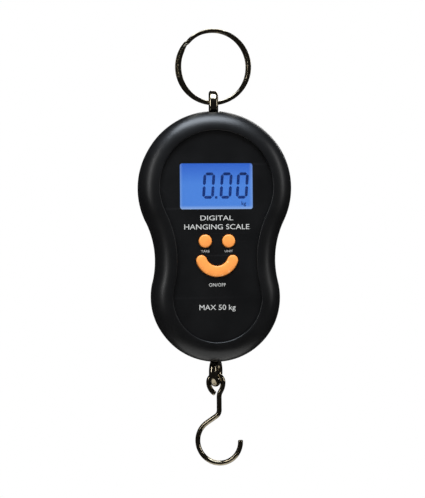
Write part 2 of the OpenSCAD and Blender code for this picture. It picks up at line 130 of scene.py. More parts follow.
def grey(level: float) -> tuple[float, float, float, float]:
    """A grey as linear RGBA."""
    return (level, level, level, 1.0)


# ---------- finishes ----------


@dataclass(frozen=True)
class Finish:
    """A finish: colour, gloss, a fine grain and slow stains, all scaled from real millimetres."""

    name: str
    colour: str
    stain: str = ""
    metallic: float = 0.0
    roughness: float = 0.4
    rough_spread: float = 0.08
    grain_mm: float = 0.25
    grain_depth_mm: float = 0.01
    stain_mm: float = 9.0
    ior: float = 1.5
    coat: float = 0.0
    coat_roughness: float = 0.1
    drawn: tuple[float, float, float] = (1.0, 1.0, 1.0)
    specular: float = 0.5

    def start(self) -> tuple[bpy.types.Material, bpy.types.NodeTree, bpy.types.Node, bpy.types.Node]:
        """Makes the material with its shader, its Object coordinates and nothing else.

        Returns:
            The material, its tree, the Principled shader and the coordinate node.
        """
        material = bpy.data.materials.new(self.name)
        material.use_nodes = True
        tree = material.node_tree
        shader = tree.nodes["Principled BSDF"]
        where = add_node(tree, "ShaderNodeTexCoord")
        shader.inputs["Metallic"].default_value = self.metallic
        if not self.metallic:
            shader.inputs["IOR"].default_value = self.ior
        shader.inputs["Coat Weight"].default_value = self.coat
        shader.inputs["Coat Roughness"].default_value = self.coat_roughness
        shader.inputs["Specular IOR Level"].default_value = self.specular
        return material, tree, shader, where

    def build(self) -> bpy.types.Material:
        """Builds the finish.

        Returns:
            The finished material.
        """
        material, tree, shader, where = self.start()
        self.dress(tree, shader, where)
        return material

    def dress(self, tree: bpy.types.NodeTree, shader: bpy.types.Node, where: bpy.types.Node) -> None:
        """Adds colour stains, uneven gloss and the surface grain.

        Args:
            tree: The material's tree.
            shader: Its Principled shader.
            where: Its coordinate node.
        """
        place = where.outputs["Object"]
        stretch = add_node(tree, "ShaderNodeMapping", inputs={"Vector": place, "Scale": self.drawn})
        slow = add_node(tree, "ShaderNodeTexNoise", inputs={
            "Vector": place, "Scale": 1 / (self.stain_mm * MM), "Detail": 4.0})
        fine = add_node(tree, "ShaderNodeTexNoise", inputs={
            "Vector": stretch.outputs["Vector"], "Scale": 1 / (self.grain_mm * MM),
            "Detail": 3.0, "Roughness": 0.6})
        main = linear(self.colour)
        other = linear(self.stain or self.colour)
        colour = ramp(tree, slow.outputs["Fac"], [(0.35, main), (0.7, other)])
        tree.links.new(colour, shader.inputs["Base Color"])
        spread = add_node(tree, "ShaderNodeMapRange", inputs={
            "Value": slow.outputs["Fac"], "From Min": 0.3, "From Max": 0.7,
            "To Min": max(self.roughness - self.rough_spread, 0.02),
            "To Max": self.roughness + self.rough_spread})
        tree.links.new(spread.outputs["Result"], shader.inputs["Roughness"])
        bump = add_node(tree, "ShaderNodeBump", inputs={
            "Strength": 1.0, "Distance": self.grain_depth_mm * MM, "Height": fine.outputs["Fac"]})
        tree.links.new(bump.outputs["Normal"], shader.inputs["Normal"])


@dataclass(frozen=True)
class EdgeHighlightPlastic(Finish):
    """Moulded ABS: spark-eroded grain, and a painted highlight: a paler colour along its convex edges."""

    # colour of the painted highlight along the convex edges
    edge: str = "#4a4a4c"

    def dress(self, tree: bpy.types.NodeTree, shader: bpy.types.Node, where: bpy.types.Node) -> None:
        """Adds the plastic's grain, then paints a highlight, a paler colour, along the convex edges.

        Args:
            tree: The material's tree.
            shader: Its Principled shader.
            where: Its coordinate node.
        """
        super().dress(tree, shader, where)
        # painted highlight: convex edges, found by pointiness, are mixed towards the paler edge colour
        round_edges = add_node(tree, "ShaderNodeNewGeometry")
        painted_edge_highlight = add_node(tree, "ShaderNodeMapRange", inputs={
            "Value": round_edges.outputs["Pointiness"], "From Min": 0.53, "From Max": 0.62,
            "To Min": 0.0, "To Max": 0.35})
        base = shader.inputs["Base Color"].links[0].from_socket
        mix = add_node(tree, "ShaderNodeMix", {"data_type": "RGBA"})
        tree.links.new(painted_edge_highlight.outputs["Result"], mix.inputs["Factor"])
        tree.links.new(base, mix.inputs["A"])
        mix.inputs["B"].default_value = linear(self.edge)
        tree.links.new(mix.outputs["Result"], shader.inputs["Base Color"])


@dataclass(frozen=True)
class LitDisplay(Finish):
    """Backlit liquid crystal: deeper blue towards the top, paler along the foot and the sides."""

    top: str = "#3568d8"
    middle: str = "#528dea"
    foot: str = "#b4d2f8"
    strength: float = 1.0
    low: Vector = field(default_factory=Vector)
    high: Vector = field(default_factory=Vector)

    def dress(self, tree: bpy.types.NodeTree, shader: bpy.types.Node, where: bpy.types.Node) -> None:
        """Makes the surface glow by height, and paler near its sides.

        Args:
            tree: The material's tree.
            shader: Its Principled shader.
            where: Its coordinate node.
        """
        split = add_node(tree, "ShaderNodeSeparateXYZ", inputs={"Vector": where.outputs["Object"]})
        rise = add_node(tree, "ShaderNodeMapRange", inputs={
            "Value": split.outputs["Z"], "From Min": self.low.z, "From Max": self.high.z})
        glow = ramp(tree, rise.outputs["Result"], [
            (0.0, linear(self.foot)), (0.12, linear(self.middle)),
            (0.55, linear(self.middle)), (1.0, linear(self.top))])
        aside = add_node(tree, "ShaderNodeMath", {"operation": "ABSOLUTE"}, {0: split.outputs["X"]})
        edge = add_node(tree, "ShaderNodeMapRange", inputs={
            "Value": aside.outputs["Value"], "From Min": self.high.x * 0.86, "From Max": self.high.x,
            "To Min": 0.0, "To Max": 0.55})
        mix = add_node(tree, "ShaderNodeMix", {"data_type": "RGBA"})
        tree.links.new(edge.outputs["Result"], mix.inputs["Factor"])
        tree.links.new(glow, mix.inputs["A"])
        mix.inputs["B"].default_value = linear(self.foot)
        tree.links.new(mix.outputs["Result"], shader.inputs["Emission Color"])
        shader.inputs["Emission Strength"].default_value = self.strength
        shader.inputs["Base Color"].default_value = linear(self.colour)
        shader.inputs["Roughness"].default_value = self.roughness


@dataclass(frozen=True)
class ClearPane(Finish):
    """Polished clear polycarbonate: lets the display through, with a faint reflection."""

    smear_mm: float = 6.0
    alpha: float = 0.06

    def dress(self, tree: bpy.types.NodeTree, shader: bpy.types.Node, where: bpy.types.Node) -> None:
        """Makes the pane nearly clear, with faint smears in its gloss.

        Args:
            tree: The material's tree.
            shader: Its Principled shader.
            where: Its coordinate node.
        """
        smear = add_node(tree, "ShaderNodeTexNoise", inputs={
            "Vector": where.outputs["Object"], "Scale": 1 / (self.smear_mm * MM), "Detail": 3.0})
        rough = add_node(tree, "ShaderNodeMapRange", inputs={
            "Value": smear.outputs["Fac"], "To Min": 0.03, "To Max": 0.16})
        tree.links.new(rough.outputs["Result"], shader.inputs["Roughness"])
        shader.inputs["Base Color"].default_value = linear(self.colour)
        shader.inputs["Alpha"].default_value = self.alpha


@dataclass(frozen=True)
class PrintedBoard(Finish):
    """Green solder mask over copper: tracks show as paler lines."""

    track: str = "#4f9d5c"
    grid_mm: float = 10.0

    def dress(self, tree: bpy.types.NodeTree, shader: bpy.types.Node, where: bpy.types.Node) -> None:
        """Lays 0.4 mm tracks under the mask, 5 mm apart one way and 2.5 mm the other.

        The brick pattern's cells are half and a quarter of its grid.

        Args:
            tree: The material's tree.
            shader: Its Principled shader.
            where: Its coordinate node.
        """
        super().dress(tree, shader, where)
        bricks = add_node(tree, "ShaderNodeTexBrick", inputs={
            "Scale": 1 / (self.grid_mm * MM), "Mortar Size": 0.02, "Color1": linear(self.colour),
            "Color2": linear(self.stain), "Mortar": linear(self.track)})
        turn = add_node(tree, "ShaderNodeMapping", inputs={
            "Vector": where.outputs["Object"], "Rotation": (math.radians(90), 0, 0)})
        tree.links.new(turn.outputs["Vector"], bricks.inputs["Vector"])
        tree.links.new(bricks.outputs["Color"], shader.inputs["Base Color"])


@dataclass(frozen=True)
class BandedSleeve(Finish):
    """Shrink sleeve of two dry cells side by side, each with a copper band at its own nub."""

    middle_z: float = 0.0
    band_from: float = 0.01

    def dress(self, tree: bpy.types.NodeTree, shader: bpy.types.Node, where: bpy.types.Node) -> None:
        """Colours the sleeve by the distance towards its nub, which is up on the right cell only.

        Args:
            tree: The material's tree.
            shader: Its Principled shader.
            where: Its coordinate node.
        """
        super().dress(tree, shader, where)
        split = add_node(tree, "ShaderNodeSeparateXYZ", inputs={"Vector": where.outputs["Object"]})
        way = add_node(tree, "ShaderNodeMath", {"operation": "SIGN"}, {0: split.outputs["X"]})
        rise = add_node(tree, "ShaderNodeMath", {"operation": "SUBTRACT"},
                        {0: split.outputs["Z"], 1: self.middle_z})
        along = add_node(tree, "ShaderNodeMath", {"operation": "MULTIPLY"},
                         {0: way.outputs["Value"], 1: rise.outputs["Value"]})
        above = add_node(tree, "ShaderNodeMath", {"operation": "GREATER_THAN"},
                         {0: along.outputs["Value"], 1: self.band_from})
        colour = ramp(tree, above.outputs["Value"], [(0.0, linear(self.colour)), (1.0, linear(self.stain))])
        tree.links.new(colour, shader.inputs["Base Color"])


# ---------- mesh tools ----------


def mesh_object(name: str, points: np.ndarray, faces: list, smooth: bool = True,
                sharp_deg: float = 40.0) -> bpy.types.Object:
    """Makes an object from points in metres and faces.

    Args:
        name: Name of the piece.
        points: N by 3 array.
        faces: Lists of point numbers.
        smooth: Whether the faces are shaded smooth.
        sharp_deg: Edges sharper than this stay sharp.

    Returns:
        The new object, at the origin, with its place in its mesh.
    """
    mesh = bpy.data.meshes.new(name)
    mesh.from_pydata(points.tolist(), [], faces)
    mesh.validate()
    mesh.update()
    piece = bpy.data.objects.new(name, mesh)
    bpy.context.scene.collection.objects.link(piece)
    if smooth:
        mesh.shade_smooth()
        mesh.set_sharp_from_angle(angle=math.radians(sharp_deg))
    return piece


def grid_faces(rows: int, columns: int, closed: bool) -> list[tuple[int, int, int, int]]:
    """Quads of a grid whose rows each hold the same number of points.

    Args:
        rows: Number of rows.
        columns: Points in a row.
        closed: Whether the last row joins the first.

    Returns:
        The quads, wrapped round along each row.
    """
    last = rows if closed else rows - 1
    i, k = np.meshgrid(np.arange(last), np.arange(columns), indexing="ij")
    j, m = (i + 1) % rows, (k + 1) % columns
    quads = np.stack([i * columns + k, i * columns + m, j * columns + m, j * columns + k], -1)
    return [tuple(q) for q in quads.reshape(-1, 4).tolist()]


def end_caps(rows: int, count: int) -> list[tuple[int, ...]]:
    """The two many-sided faces that close the first and the last row of a grid."""
    return [tuple(range(count - 1, -1, -1)), tuple(range((rows - 1) * count, rows * count))]


def at_depth(flat: np.ndarray, y: float) -> np.ndarray:
    """A flat outline in X and Z, as points that stand at one Y."""
    return np.stack([flat[:, 0], np.full(len(flat), y), flat[:, 1]], -1)


def sweep(path: np.ndarray, radius: np.ndarray | float, sides: int = 24, closed: bool = False,
          section: np.ndarray | None = None, up: tuple[float, float, float] = (0, 1, 0)
          ) -> tuple[np.ndarray, list]:
    """Carries a round or given section along a path that lies near one plane.

    The section's first axis points across the path in its plane, and its second along up.

    Args:
        path: N by 3 points.
        radius: Radius, or one for each point of the path.
        sides: Number of sides of a round section.
        closed: Whether the path is a loop.
        section: M by 2 points of another section, in units of the radius.
        up: Direction that stays square to the path.

    Returns:
        Points and faces of the closed surface.
    """
    if closed:
        ahead = np.roll(path, -1, 0) - np.roll(path, 1, 0)
    else:
        ahead = np.gradient(path, axis=0)
    ahead /= np.linalg.norm(ahead, axis=1)[:, None]
    steady = np.tile(np.array(up, float), (len(path), 1))
    across = np.cross(ahead, steady)
    across /= np.linalg.norm(across, axis=1)[:, None]
    lift = np.cross(across, ahead)
    if section is None:
        turn = np.linspace(0, 2 * math.pi, sides, endpoint=False)
        section = np.stack([np.cos(turn), np.sin(turn)], -1)
    size = np.broadcast_to(np.asarray(radius, float), (len(path),))
    points = (path[:, None, :]
              + size[:, None, None] * (section[None, :, 0, None] * across[:, None, :]
                                       + section[None, :, 1, None] * lift[:, None, :]))
    count = len(section)
    faces = grid_faces(len(path), count, closed)
    if not closed:
        faces += end_caps(len(path), count)
    return points.reshape(-1, 3), faces


def revolve(profile: Sequence[tuple[float, float]], sides: int = 64) -> tuple[np.ndarray, list]:
    """Turns a profile of (radius, height) about Z; the first and last radius are 0.

    Args:
        profile: Points from the axis at the foot to the axis at the top.
        sides: Points round the turn.

    Returns:
        Points and faces of the closed surface.
    """
    body = np.array(profile[1:-1], float)
    turn = np.linspace(0, 2 * math.pi, sides, endpoint=False)
    ring = np.stack([np.cos(turn), np.sin(turn)], -1)
    points = np.empty((len(body), sides, 3))
    points[..., :2] = body[:, None, :1] * ring[None]
    points[..., 2] = body[:, None, 1]
    flat = points.reshape(-1, 3)
    foot, top = len(flat), len(flat) + 1
    flat = np.vstack([flat, [0, 0, profile[0][1]], [0, 0, profile[-1][1]]])
    faces: list = grid_faces(len(body), sides, False)
    last = (len(body) - 1) * sides
    faces += [(foot, (k + 1) % sides, k) for k in range(sides)]
    faces += [(top, last + k, last + (k + 1) % sides) for k in range(sides)]
    return flat, faces


def loft(outline: Callable[[float], np.ndarray], profile: Sequence[tuple[float, float]],
         closed: bool = False) -> tuple[np.ndarray, list]:
    """Stacks outlines: at each (inset, depth) of the profile the outline is drawn inwards.

    Args:
        outline: Gives the M by 2 outline in X and Z for an inset, always with M points.
        profile: Inset and Y of each step, from the first cap to the last.
        closed: Whether the last outline joins the first, with no caps.

    Returns:
        Points and faces of the closed surface.
    """
    points = np.stack([at_depth(outline(inset), depth) for inset, depth in profile])
    rows, count = points.shape[:2]
    faces: list = grid_faces(rows, count, closed)
    if not closed:
        faces += end_caps(rows, count)
    return points.reshape(-1, 3), faces


def join_parts(parts: Sequence[tuple[np.ndarray, list]]) -> tuple[np.ndarray, list]:
    """Puts several closed surfaces into one list of points and faces.

    Args:
        parts: Points and faces of each surface.

    Returns:
        All points, and all faces with their numbers moved up.
    """
    points, faces, start = [], [], 0
    for part_points, part_faces in parts:
        points.append(part_points)
        faces += [tuple(index + start for index in face) for face in part_faces]
        start += len(part_points)
    return np.vstack(points), faces


def turn_z(points: np.ndarray, degrees: float) -> np.ndarray:
    """Points turned about Z."""
    c, s = math.cos(math.radians(degrees)), math.sin(math.radians(degrees))
    return points @ np.array([[c, s, 0], [-s, c, 0], [0, 0, 1]])


def arc(x: float, z: float, r: float, start: float, end: float, step_mm: float) -> np.ndarray:
    """Points of an arc in the XZ plane, without its last point.

    Args:
        x: X of its centre.
        z: Z of its centre.
        r: Its radius.
        start: Angle of its first point, in degrees from X towards Z.
        end: Angle that it stops short of.
        step_mm: Longest step between two points.

    Returns:
        N by 3 points at Y = 0.
    """
    count = max(int(abs(math.radians(end - start)) * r / step_mm), 3)
    turn = np.radians(np.linspace(start, end, count, endpoint=False))
    return np.stack([x + r * np.cos(turn), np.zeros(count), z + r * np.sin(turn)], -1)


def outward(piece: bpy.types.Object, weld: bool = False) -> bpy.types.Object:
    """Makes every face of a closed piece point outwards.

    Args:
        piece: The piece to turn.
        weld: Whether its doubled points are merged first.

    Returns:
        The same piece.
    """
    work = bmesh.new()
    work.from_mesh(piece.data)
    if weld:
        bmesh.ops.remove_doubles(work, verts=work.verts, dist=WELD_M)
    bmesh.ops.recalc_face_normals(work, faces=work.faces)
    work.to_mesh(piece.data)
    work.free()
    return piece


# ---------- ring, eyes and hook ----------


@dataclass
class SplitRing:
    """Sprung steel ring of two turns that step across each other."""

    wire_mm: float = 1.7
    turn_mm: float = 1.35
    cross_deg: float = 26.0
    start_deg: float = 138.0
    left_mm: float = 1.1
    right_mm: float = 0.9
    steps: int = 520
    corner_power: float = 5.0
    taper_mm: float = 4.0
    tip: float = 0.35

    def build(self) -> bpy.types.Object:
        """Builds the ring.

        The path is a circle walked twice, each pass sprung inwards on one side. Its offset along
        Y steps from one turn to the other where the passes meet, by a smooth cosine. Both ends
        taper. The section is a rounded rectangle, a superellipse.

        Returns:
            The ring.
        """
        low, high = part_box("split_ring")
        outer = (high.x - low.x) / 2 / MM
        middle = outer - self.wire_mm / 2
        walk = np.linspace(0, 4 * math.pi, self.steps)
        offset = self.turn_mm / 2 * self.side(walk)
        start = math.radians(self.start_deg)
        at = walk + start
        leftward = np.clip(-np.cos(at), 0, 1) * self.left_mm
        rightward = np.clip(np.cos(at), 0, 1) * self.right_mm
        sprung = np.where(walk < 2 * math.pi, leftward, rightward)
        reach = middle - sprung**2 / max(self.left_mm, self.right_mm)
        path = np.stack([reach * np.cos(at), offset, reach * np.sin(at)], -1)
        corner = np.linspace(0, 2 * math.pi, 20, endpoint=False)
        power = 2 / self.corner_power
        section = np.stack([
            np.sign(np.cos(corner)) * np.abs(np.cos(corner)) ** power * self.wire_mm / 2,
            np.sign(np.sin(corner)) * np.abs(np.sin(corner)) ** power * self.turn_mm / 2 * 0.94], -1)
        ends = np.minimum(walk, 4 * math.pi - walk) * middle
        taper = self.tip + (1 - self.tip) * np.clip(ends / self.taper_mm, 0, 1) ** 0.7
        points, faces = sweep(path, taper, section=section)
        return outward(mesh_object("sprung_ring", points * MM, faces))

    def side(self, walk: np.ndarray) -> np.ndarray:
        """Which turn the wire lies in: -1 on the first pass, 1 on the second, with a smooth step.

        Args:
            walk: Angle walked from the wire's first end, in radians.

        Returns:
            A value from -1 to 1 for each point.
        """
        half = math.radians(self.cross_deg) / 2
        step = np.clip((walk - 2 * math.pi + half) / (2 * half), 0, 1)
        return -np.cos(math.pi * step)


@dataclass
class EyeBolt:
    """Closed steel eye with a neck and a threaded shank."""

    node: str
    turn_deg: float
    shank_up: bool
    hole_mm: float = 5.6
    wire_mm: float = 4.0
    shank_mm: float = 4.0
    pitch_mm: float = 0.7
    ridge_mm: float = 0.35
    flat_power: float = 2.0
    widen: float = 1.0
    steps: int = 96

    def section(self) -> np.ndarray:
        """Section of the wire, a superellipse: round at a power of 2, and squarer above it.

        Returns:
            M by 2 points in units of the wire's radius, the second widened.
        """
        turn = np.linspace(0, 2 * math.pi, 40, endpoint=False)
        bend = 2 / self.flat_power
        flat = np.stack([np.sign(f(turn)) * np.abs(f(turn)) ** bend for f in (np.cos, np.sin)], -1)
        return flat * np.array([1.0, self.widen])

    def build(self) -> bpy.types.Object:
        """Builds the eye as a torus in the YZ plane, and the shank as a turned profile.

        Returns:
            The eye bolt.
        """
        low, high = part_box(self.node)
        r = (self.hole_mm + self.wire_mm) / 2
        reach = r + self.wire_mm / 2
        centre = low.z / MM + reach if self.shank_up else high.z / MM - reach
        far = high.z / MM if self.shank_up else low.z / MM
        turn = np.linspace(0, 2 * math.pi, self.steps, endpoint=False)
        loop = np.stack([np.zeros(self.steps), r * np.cos(turn), r * np.sin(turn) + centre], -1)
        ring = sweep(loop, self.wire_mm / 2, closed=True, section=self.section(), up=(1, 0, 0))
        shank_points, shank_faces = revolve(self.shank(abs(far - centre) - r))
        direction = 1 if self.shank_up else -1
        shank_points[:, 2] = centre + direction * (r + shank_points[:, 2])
        shank_points[:, 1] *= direction
        points, faces = join_parts([ring, (shank_points, shank_faces)])
        name = self.node + "_forged"
        return outward(mesh_object(name, turn_z(points, self.turn_deg) * MM, faces))

    def shank(self, length: float) -> list[tuple[float, float]]:
        """Profile of the shank: a plain neck, then a rolled thread of ridges, then a chamfer.

        Args:
            length: From the middle of the eye's wire to the tip.

        Returns:
            Radius and height of each point, from the eye outwards.
        """
        r = self.shank_mm / 2
        plain, chamfer = length * 0.45, 0.4
        ridges = int((length - plain - chamfer - 0.2) / self.pitch_mm)
        out = [(0.0, 0.0), (r, 0.001), (r, plain)]
        for k in range(ridges):
            z = plain + k * self.pitch_mm
            out += [(r - self.ridge_mm, z + 0.35 * self.pitch_mm), (r, z + 0.8 * self.pitch_mm)]
        return out + [(r - chamfer, length - 0.01), (0.0, length)]


@dataclass
class WireHook:
    """One bent wire: a loop with a free end, a shank with a kink, and a round bowl."""

    turn_deg: float
    wire_mm: float = 2.3
    loop_mm: float = 3.4
    shank_mm: float = 1.5
    bowl_x_mm: float = 1.3
    bowl_z_mm: float = -30.45
    bowl_mm: float = 10.1
    lean_deg: float = 55.0
    free_deg: float = 59.0
    tip_deg: float = 366.0
    step_mm: float = 0.35
    straight_steps: int = 12
    chamfer_mm: float = 0.35

    def path(self) -> np.ndarray:
        """The wire's centre line about the point where the loop bears on the eye.

        Tangent arcs: the loop's short side, its half circle, two arcs that ease into the
        shank, the kink, a straight run, and the bowl.

        Returns:
            N by 3 points in millimetres.
        """
        loop, shank, step, count = self.loop_mm, self.shank_mm, self.step_mm, self.straight_steps
        in_r, out_r, side_r, kink_r = 8.0, 5.0, 6.2, 3.5
        ease = math.degrees(math.acos(1 - (loop - shank) / (in_r + out_r)))
        neck_z = -loop - (in_r + out_r) * math.sin(math.radians(ease))
        lean = math.radians(self.lean_deg)
        enter = 180 - self.lean_deg
        touch = np.array([self.bowl_x_mm + self.bowl_mm * math.cos(math.radians(enter)),
                          self.bowl_z_mm + self.bowl_mm * math.sin(math.radians(enter))])
        kink_x = shank - kink_r * (1 - math.cos(lean))
        run = (kink_x - touch[0]) / math.sin(lean)
        kink_z = touch[1] + run * math.cos(lean)
        down = np.linspace(neck_z, kink_z + kink_r * math.sin(lean), count, endpoint=False)
        slope = np.linspace(0, 1, count, endpoint=False)
        return np.vstack([
            arc(-loop + side_r, -loop, side_r, 180 + self.free_deg, 180, step),
            arc(0, -loop, loop, 180, 0, step),
            arc(loop - in_r, -loop, in_r, 0, -ease, step),
            arc(shank + out_r, neck_z, out_r, 180 - ease, 180, step),
            np.stack([np.full(count, shank), np.zeros(count), down], -1),
            arc(shank - kink_r, kink_z + kink_r * math.sin(lean), kink_r, 0, -self.lean_deg, step),
            np.stack([kink_x + (touch[0] - kink_x) * slope, np.zeros(count),
                      kink_z + (touch[1] - kink_z) * slope], -1),
            arc(self.bowl_x_mm, self.bowl_z_mm, self.bowl_mm, enter, self.tip_deg, step),
        ])

    def build(self) -> bpy.types.Object:
        """Builds the hook, its cut ends eased by a small chamfer.

        Returns:
            The hook.
        """
        path = self.path()
        along = np.concatenate([[0], np.cumsum(np.linalg.norm(np.diff(path, axis=0), axis=1))])
        ends = np.minimum(along, along[-1] - along)
        radius = self.wire_mm / 2 * (0.8 + 0.2 * np.clip(ends / self.chamfer_mm, 0, 1))
        points, faces = sweep(path, radius, sides=28)
        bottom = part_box("weighing_hook")[0].z / MM
        rise = bottom - (self.bowl_z_mm - self.bowl_mm - self.wire_mm / 2)
        points[:, 2] += rise
        return outward(mesh_object("bent_wire_hook", turn_z(points, self.turn_deg) * MM, faces))


# ---------- shell ----------


def disc(radius: float, x: float, z: float) -> np.ndarray:
    """Outline of a disc, as points round a circle.

    Args:
        radius: Its radius.
        x: X of its centre.
        z: Z of its centre.

    Returns:
        M by 2 points in X and Z.
    """
    turn = np.linspace(0, 2 * math.pi, 64, endpoint=False)
    return np.stack([x + radius * np.cos(turn), z + radius * np.sin(turn)], -1)


def smile(radius: float, half_width: float, half_deg: float, z: float) -> np.ndarray:
    """Outline of a band of a ring that opens upwards: outer arc, end, inner arc, end.

    Args:
        radius: From the ring's centre to the middle of the band.
        half_width: Half the band's width, and the radius of its round ends.
        half_deg: Angle from the foot to the middle of each end.
        z: Z of the ring's centre.

    Returns:
        M by 2 points in X and Z.
    """
    half, down = math.radians(half_deg), -math.pi / 2

    def bow(r: float, start: float, end: float, count: int) -> np.ndarray:
        """Points of an arc about the origin, in radians, without its last point."""
        turn = np.linspace(start, end, count, endpoint=False)
        return r * np.stack([np.cos(turn), np.sin(turn)], -1)

    ends = [radius * np.array([math.cos(down + s * half), math.sin(down + s * half)]) for s in (1, -1)]
    return np.vstack([
        bow(radius + half_width, down - half, down + half, 56),
        ends[0] + bow(half_width, down + half, down + half + math.pi, 20),
        bow(radius - half_width, down + half, down - half, 56),
        ends[1] + bow(half_width, down - half + math.pi, down - half + 2 * math.pi, 20),
    ]) + np.array([0.0, z])


@dataclass
class ShellOutline:
    """Figure-of-eight outline: two lobes eased into each other by two waist circles."""

    upper_mm: float = 35.0
    lower_mm: float = 29.4
    gap_mm: float = 50.1
    waist_mm: float = 41.0
    upper_z: float = -55.7

    def __call__(self, inset: float) -> np.ndarray:
        """Outline in X and Z, drawn inwards by inset, always with the same number of points.

        The arcs keep their centres for every inset: the lobes lose the inset and the waist
        circles gain it, so all of them still touch.

        Args:
            inset: Distance that the outline is drawn inwards.

        Returns:
            M by 2 points in X and Z.
        """
        far_u, far_l = self.upper_mm + self.waist_mm, self.lower_mm + self.waist_mm
        dz = (far_u**2 - far_l**2 + self.gap_mm**2) / (2 * self.gap_mm)
        x = math.sqrt(far_u**2 - dz**2)
        dip, rise = math.asin(dz / far_u), math.asin((self.gap_mm - dz) / far_l)
        top = np.linspace(-dip, math.pi + dip, 150, endpoint=False)
        left = np.linspace(dip, -rise, 36, endpoint=False)
        foot = np.linspace(math.pi - rise, 2 * math.pi + rise, 120, endpoint=False)
        right = np.linspace(math.pi + rise, math.pi - dip, 36, endpoint=False)
        up, down, waist = self.upper_mm - inset, self.lower_mm - inset, self.waist_mm + inset
        lower_z, waist_z = self.upper_z - self.gap_mm, self.upper_z - dz
        return np.vstack([
            np.stack([up * np.cos(top), self.upper_z + up * np.sin(top)], -1),
            np.stack([-x + waist * np.cos(left), waist_z + waist * np.sin(left)], -1),
            np.stack([down * np.cos(foot), lower_z + down * np.sin(foot)], -1),
            np.stack([x + waist * np.cos(right), waist_z + waist * np.sin(right)], -1)])


@dataclass
class FrontRim:
    """The wide rounded rim of the front shell, with its skirt down to the parting line."""

    outline: ShellOutline
    edge_mm: float = 9.0
    rim_mm: float = 9.4
    lip_mm: float = 0.45
    wall_mm: float = 2.0
    ledge_mm: float = 1.7
    ledge_inset_mm: float = 1.2

    def profile(self) -> list[tuple[float, float]]:
        """Inset and Y round the rim's closed section, from the parting line over the top.

        The outer edge is an arc, the inner lip a smaller one, and the inside follows a wall's
        thickness in.

        Returns:
            Inset and Y of each step.
        """
        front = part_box("front_cover")[0].y / MM
        e, lip, wall, ledge = self.edge_mm, self.lip_mm, self.wall_mm, front + RECESS_MM + self.ledge_mm
        over = [(e * (1 - math.cos(t)), front + e * (1 - math.sin(t)))
                for t in np.radians(np.linspace(0, 90, 26))]
        inner = [(self.rim_mm - lip + lip * math.sin(t), front + lip * (1 - math.cos(t)))
                 for t in np.radians(np.linspace(20, 90, 7))]
        back = [(self.rim_mm, ledge), (self.rim_mm - self.ledge_inset_mm, ledge)]
        under = [(wall + (e - wall) * (1 - math.cos(t)), ledge + 0.1 + (e - wall) * (1 - math.sin(t)))
                 for t in np.radians(np.linspace(90, 0, 12))]
        return [(0.12, -0.02), (0.0, -0.2)] + over + inner + back + under + [(wall, -0.02)]

    def build(self) -> bpy.types.Object:
        """Builds the rim as a ring of outlines that closes on itself.

        Returns:
            The rim.
        """
        points, faces = loft(self.outline, self.profile(), closed=True)
        return outward(mesh_object("front_rim", points * MM, faces, sharp_deg=SHELL_SHARP_DEG))


@dataclass
class FacePanel:
    """The flat recessed face, pierced for the window and the buttons."""

    outline: ShellOutline
    holes: Sequence[np.ndarray]
    inset_mm: float = 9.35
    thick_mm: float = 1.8
    bevel_mm: float = 0.12
    sharp_deg: float = 25.0

    def build(self) -> bpy.types.Object:
        """Builds the panel from filled curves, with a fine bevel round every hole.

        Returns:
            The panel.
        """
        curve = bpy.data.curves.new("face_curve", "CURVE")
        curve.dimensions = "2D"
        curve.fill_mode = "BOTH"
        curve.extrude = (self.thick_mm / 2 - self.bevel_mm) * MM
        curve.bevel_depth = self.bevel_mm * MM
        curve.bevel_resolution = 2
        curve.offset = -self.bevel_mm * MM
        for flat in [self.outline(self.inset_mm), *self.holes]:
            spline = curve.splines.new("POLY")
            spline.points.add(len(flat) - 1)
            rows = np.hstack([flat * MM, np.zeros((len(flat), 1)), np.ones((len(flat), 1))])
            spline.points.foreach_set("co", rows.ravel())
            spline.use_cyclic_u = True
        helper = bpy.data.objects.new("face_helper", curve)
        bpy.context.scene.collection.objects.link(helper)
        bpy.context.view_layer.update()
        mesh = bpy.data.meshes.new_from_object(helper.evaluated_get(bpy.context.evaluated_depsgraph_get()))
        bpy.data.objects.remove(helper)
        flat = np.empty(len(mesh.vertices) * 3)
        mesh.vertices.foreach_get("co", flat)
        flat = flat.reshape(-1, 3)
        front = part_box("front_cover")[0].y + RECESS_MM * MM
        points = np.stack([flat[:, 0], front + self.thick_mm / 2 * MM - flat[:, 2], flat[:, 1]], -1)
        mesh.vertices.foreach_set("co", points.ravel())
        mesh.name = "face_panel"
        piece = bpy.data.objects.new("face_panel", mesh)
        bpy.context.scene.collection.objects.link(piece)
        outward(piece, weld=True)
        smooth_but_flat(mesh, self.sharp_deg)
        return piece


def smooth_but_flat(mesh: bpy.types.Mesh, sharp_deg: float) -> None:
    """Shades a mesh smooth, and keeps its faces that look along Y truly flat.

    Args:
        mesh: The mesh to shade.
        sharp_deg: Edges sharper than this stay sharp.
    """
    mesh.shade_smooth()
    mesh.set_sharp_from_angle(angle=math.radians(sharp_deg))
    normals = np.empty(len(mesh.polygons) * 3)
    mesh.polygons.foreach_get("normal", normals)
    level = np.abs(normals.reshape(-1, 3)[:, 1]) > 0.9999
    mesh.polygons.foreach_set("use_smooth", ~level)
    mesh.update()


def rounded_box(width: float, height: float, corner: float, x: float, z: float) -> np.ndarray:
    """Outline of a box whose corners are quarter circles.

    Args:
        width: Size along X.
        height: Size along Z.
        corner: Radius of the corners.
        x: X of the middle.
        z: Z of the middle.

    Returns:
        M by 2 points in X and Z.
    """
    quarter = np.linspace(0, math.pi / 2, 8)
    corners = []
    for k, (sx, sz) in enumerate(((1, 1), (-1, 1), (-1, -1), (1, -1))):
        turn = quarter + k * math.pi / 2
        corners.append(np.stack([x + sx * (width / 2 - corner) + corner * np.cos(turn),
                                 z + sz * (height / 2 - corner) + corner * np.sin(turn)], -1))
    return np.vstack(corners)


